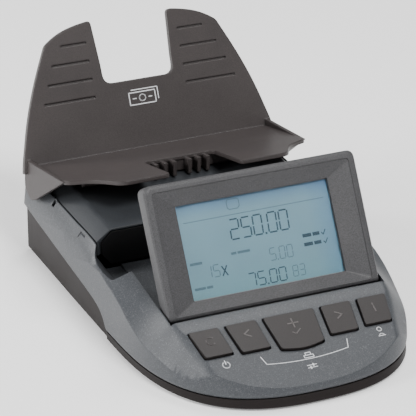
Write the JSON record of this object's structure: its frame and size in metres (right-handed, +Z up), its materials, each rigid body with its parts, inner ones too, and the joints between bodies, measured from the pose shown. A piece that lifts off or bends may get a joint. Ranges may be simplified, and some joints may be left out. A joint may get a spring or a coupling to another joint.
{
  "type": "banknote counting scale",
  "caption": "Desk scale that counts banknotes by weight: wedge body, tilting display, five-key deck, weighing platform and a lift-off slanted note hopper.",
  "frame": {"origin": "on the table, under the middle of the machine's outline", "axes": "+X to the user's right, +Y to the rear, +Z up; the user stands on the -Y side"},
  "size_m": [0.125, 0.2085, 0.098],
  "materials": {
    "shell": "fine metallic-speckled anthracite moulding, satin",
    "pan": "anthracite moulding, satin",
    "bezel": "spark-eroded grain, grey",
    "brown": "brownish dark grey moulding, fine grain",
    "key": "satin key cap",
    "black": "matt black",
    "lens": "clear window",
    "lcd": "pale blue liquid crystal panel",
    "board": "green solder mask",
    "steel": "zinc plated",
    "aluminium": "machined",
    "rubber": "matt",
    "battery": "shrink wrap"
  },
  "bodies": {
    "base": {"lower_housing": "brown", "top_shell": "shell", "key_mat": "rubber", "key_board": "board", "load_cell": "aluminium", "load_cell_base_block": "aluminium", "overload_stop_left": "steel", "overload_stop_right": "steel", "main_board": "board", "buzzer": "black", "battery_pack": "battery", "power_jack": "black", "data_port": "black", "hinge_pin_left": "steel", "hinge_pin_right": "steel", "foot_1": "rubber", "foot_2": "rubber", "foot_3": "rubber", "foot_4": "rubber", "housing_screw_1": "steel", "housing_screw_2": "steel", "housing_screw_3": "steel", "housing_screw_4": "steel"},
    "display": {"display_bezel": "bezel", "display_back_cover": "bezel", "lcd_lens": "lens", "lcd_panel": "lcd", "display_board": "board", "hinge_bush_left": "black", "hinge_bush_right": "black"},
    "platform": {"weigh_pan": "pan", "pan_carrier": "black", "load_cell_top_block": "aluminium"},
    "hopper": {"note_hopper": "brown"},
    "battery_door": {"battery_door": "brown"},
    "key_clear": {"key_clear": "key"},
    "key_back": {"key_back": "key"},
    "key_enter": {"key_enter": "key"},
    "key_forward": {"key_forward": "key"},
    "key_info": {"key_info": "key"}
  },
  "joints": [
    {"name": "display_tilt", "type": "hinge", "parent": "base", "child": "display", "pos_m": [0, -0.0519, 0.02196], "axis": [-1, 0, 0], "range_deg": [-12, 52]},
    {"name": "key_clear_press", "type": "slide", "parent": "base", "child": "key_clear", "axis": [0, 0.4276, -0.904], "range_m": [0, 0.0008], "stiffness_N_per_m": 600},
    {"name": "key_back_press", "type": "slide", "parent": "base", "child": "key_back", "axis": [0, 0.4276, -0.904], "range_m": [0, 0.0008], "stiffness_N_per_m": 600},
    {"name": "key_enter_press", "type": "slide", "parent": "base", "child": "key_enter", "axis": [0, 0.4276, -0.904], "range_m": [0, 0.0008], "stiffness_N_per_m": 600},
    {"name": "key_forward_press", "type": "slide", "parent": "base", "child": "key_forward", "axis": [0, 0.4276, -0.904], "range_m": [0, 0.0008], "stiffness_N_per_m": 600},
    {"name": "key_info_press", "type": "slide", "parent": "base", "child": "key_info", "axis": [0, 0.4276, -0.904], "range_m": [0, 0.0008], "stiffness_N_per_m": 600},
    {"name": "pan_travel", "type": "slide", "parent": "base", "child": "platform", "axis": [0, 0, -1], "range_m": [0, 0.0005], "stiffness_N_per_m": 20000},
    {"name": "hopper_lift", "type": "slide", "parent": "platform", "child": "hopper", "axis": [0, 0, 1], "range_m": [0, 0.06]},
    {"name": "battery_door_hinge", "type": "hinge", "parent": "base", "child": "battery_door", "pos_m": [0, 0.0121, 0.00095], "axis": [-1, 0, 0], "range_deg": [0, 90]}
  ]
}
